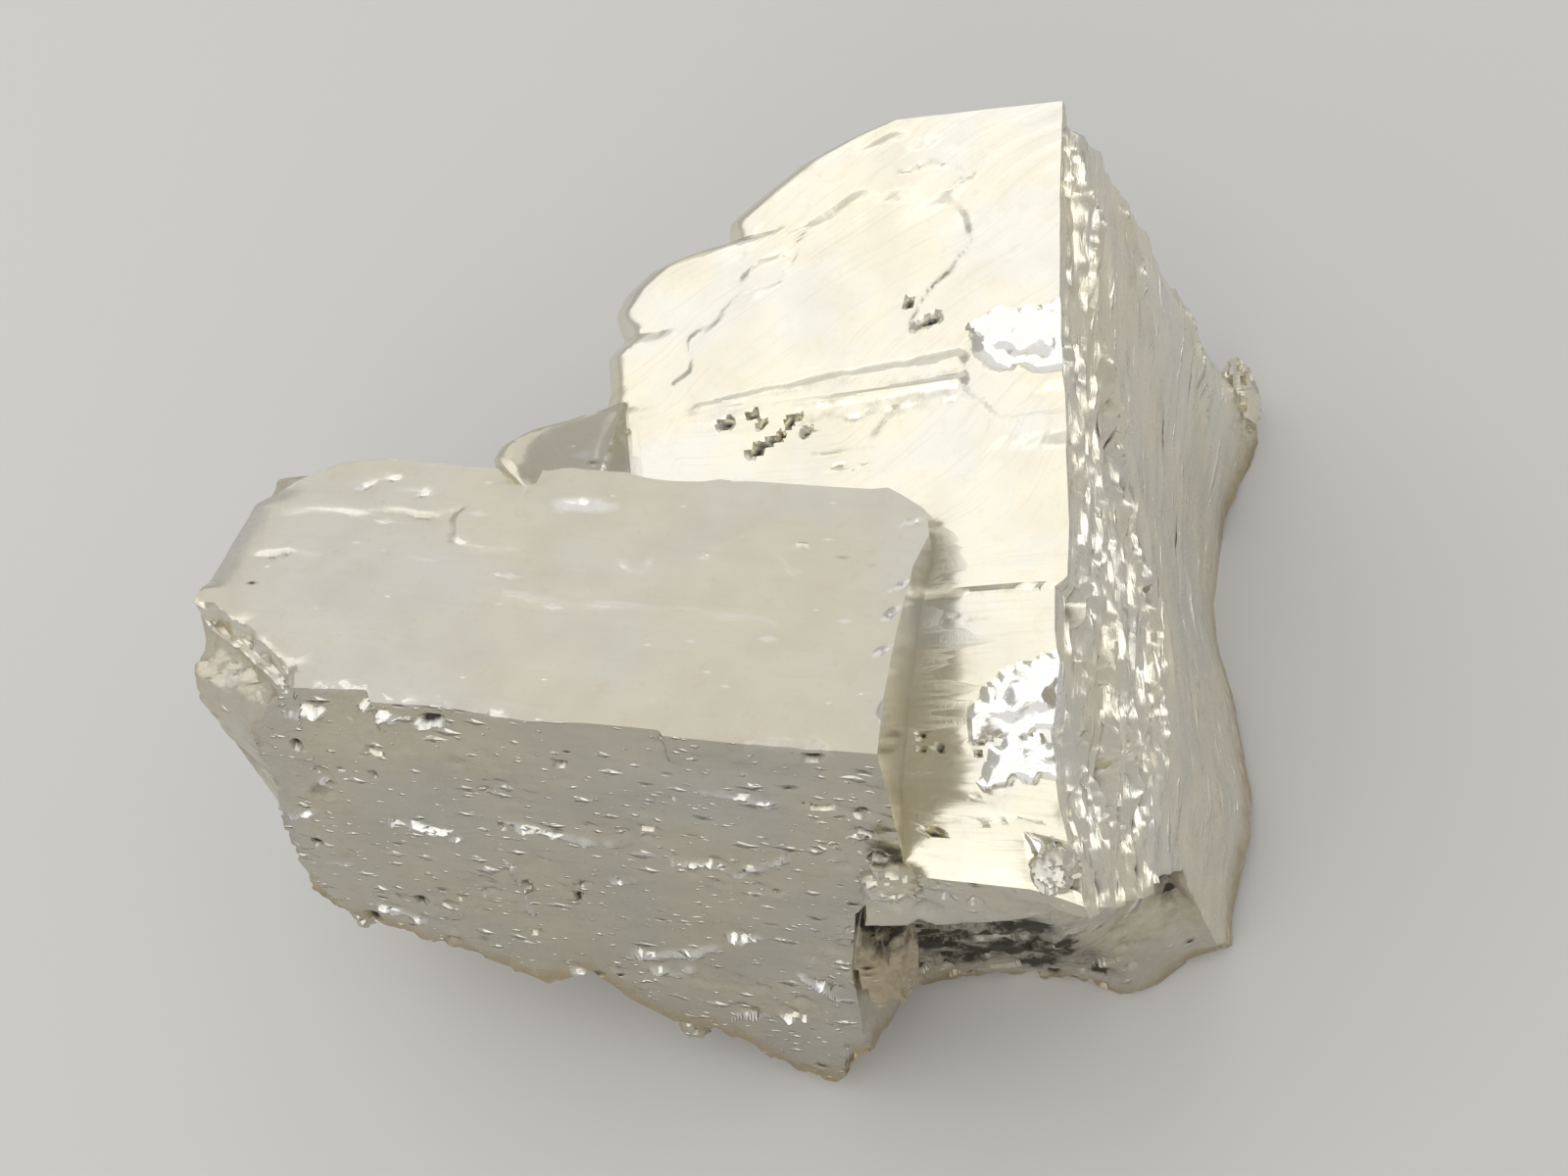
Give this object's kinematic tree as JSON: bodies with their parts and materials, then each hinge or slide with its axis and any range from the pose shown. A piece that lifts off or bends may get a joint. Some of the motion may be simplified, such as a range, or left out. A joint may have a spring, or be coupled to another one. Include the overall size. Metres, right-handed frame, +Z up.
{
  "type": "pyrite cube cluster",
  "caption": "Intergrown cubic pyrite crystals with bright stepped faces, rough ridged sides and a broken base that the cluster rests on.",
  "frame": {"origin": "on the ground, under the middle of the specimen's bounding box", "axes": "+Z up from the ground, +X to the right along the long block, +Y away from the block's rough front face"},
  "size_m": [0.0826, 0.0654, 0.0508],
  "materials": {
    "pyrite": "polished"
  },
  "bodies": {
    "root": {"pyrite_cluster": "pyrite"}
  },
  "joints": []
}
